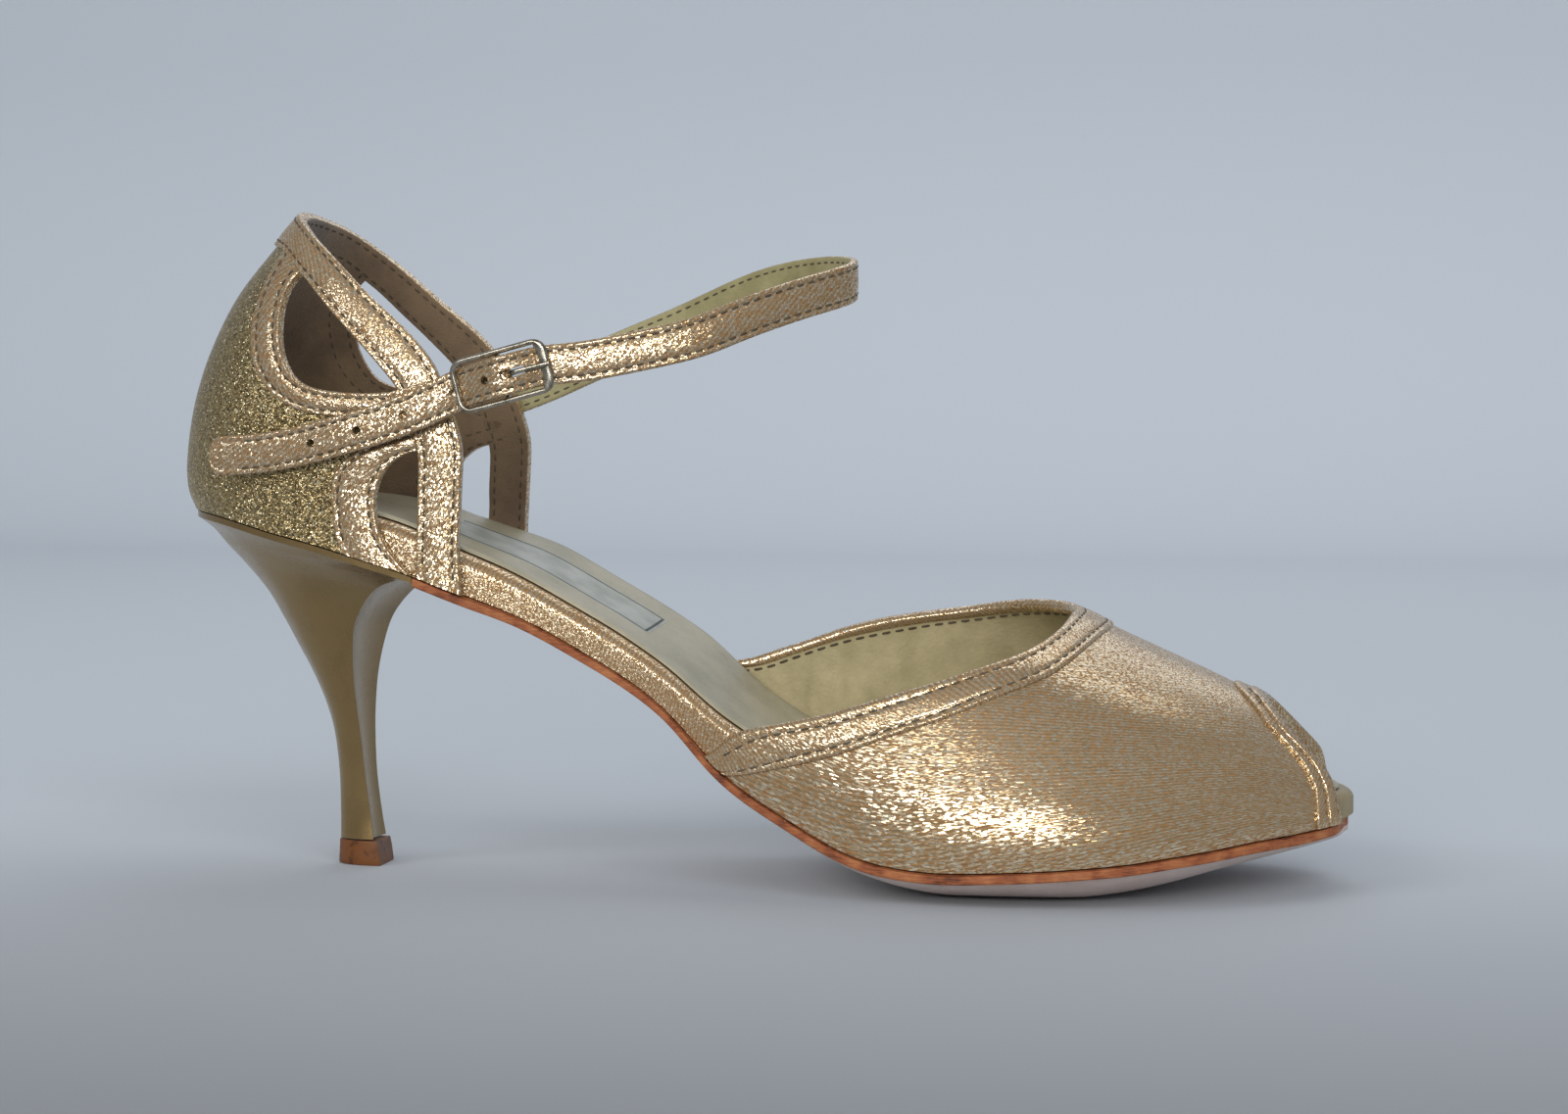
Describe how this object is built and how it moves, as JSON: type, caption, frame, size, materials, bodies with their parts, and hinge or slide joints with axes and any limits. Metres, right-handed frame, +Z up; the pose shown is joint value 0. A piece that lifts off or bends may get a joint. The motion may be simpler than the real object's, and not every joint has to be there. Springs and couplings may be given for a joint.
{
  "type": "tango shoe",
  "caption": "Right peep-toe dance sandal: vamp, cage heel cup with cut-outs, buckled ankle strap, covered insole, leather sole and slim high heel.",
  "frame": {"origin": "on the floor under the centre of the heel's top piece", "axes": "+X towards the toe, +Y to the medial side of this right shoe, +Z up; the buckle is on the -Y side"},
  "size_m": [0.2341, 0.0816, 0.1321],
  "materials": {
    "gold_leather": "metallic foil leather, satin with bright glints",
    "cage": "gold foil bands over a gold glitter counter",
    "insole_cover": "metallic foil leather, satin",
    "sock": "pale smooth lining leather",
    "sole": "orange-brown raw edge, pale pinkish underside",
    "heel": "gold lacquer",
    "top_piece": "brown polyurethane",
    "nickel": "polished nickel wire"
  },
  "bodies": {
    "root": {"outsole": "sole", "insole": "insole_cover", "insole_sock": "sock", "vamp": "gold_leather", "quarter": "cage", "heel": "heel", "top_piece": "top_piece", "ankle_strap": "gold_leather", "buckle_frame": "nickel", "buckle_prong": "nickel", "buckle_tab": "gold_leather"}
  },
  "joints": []
}
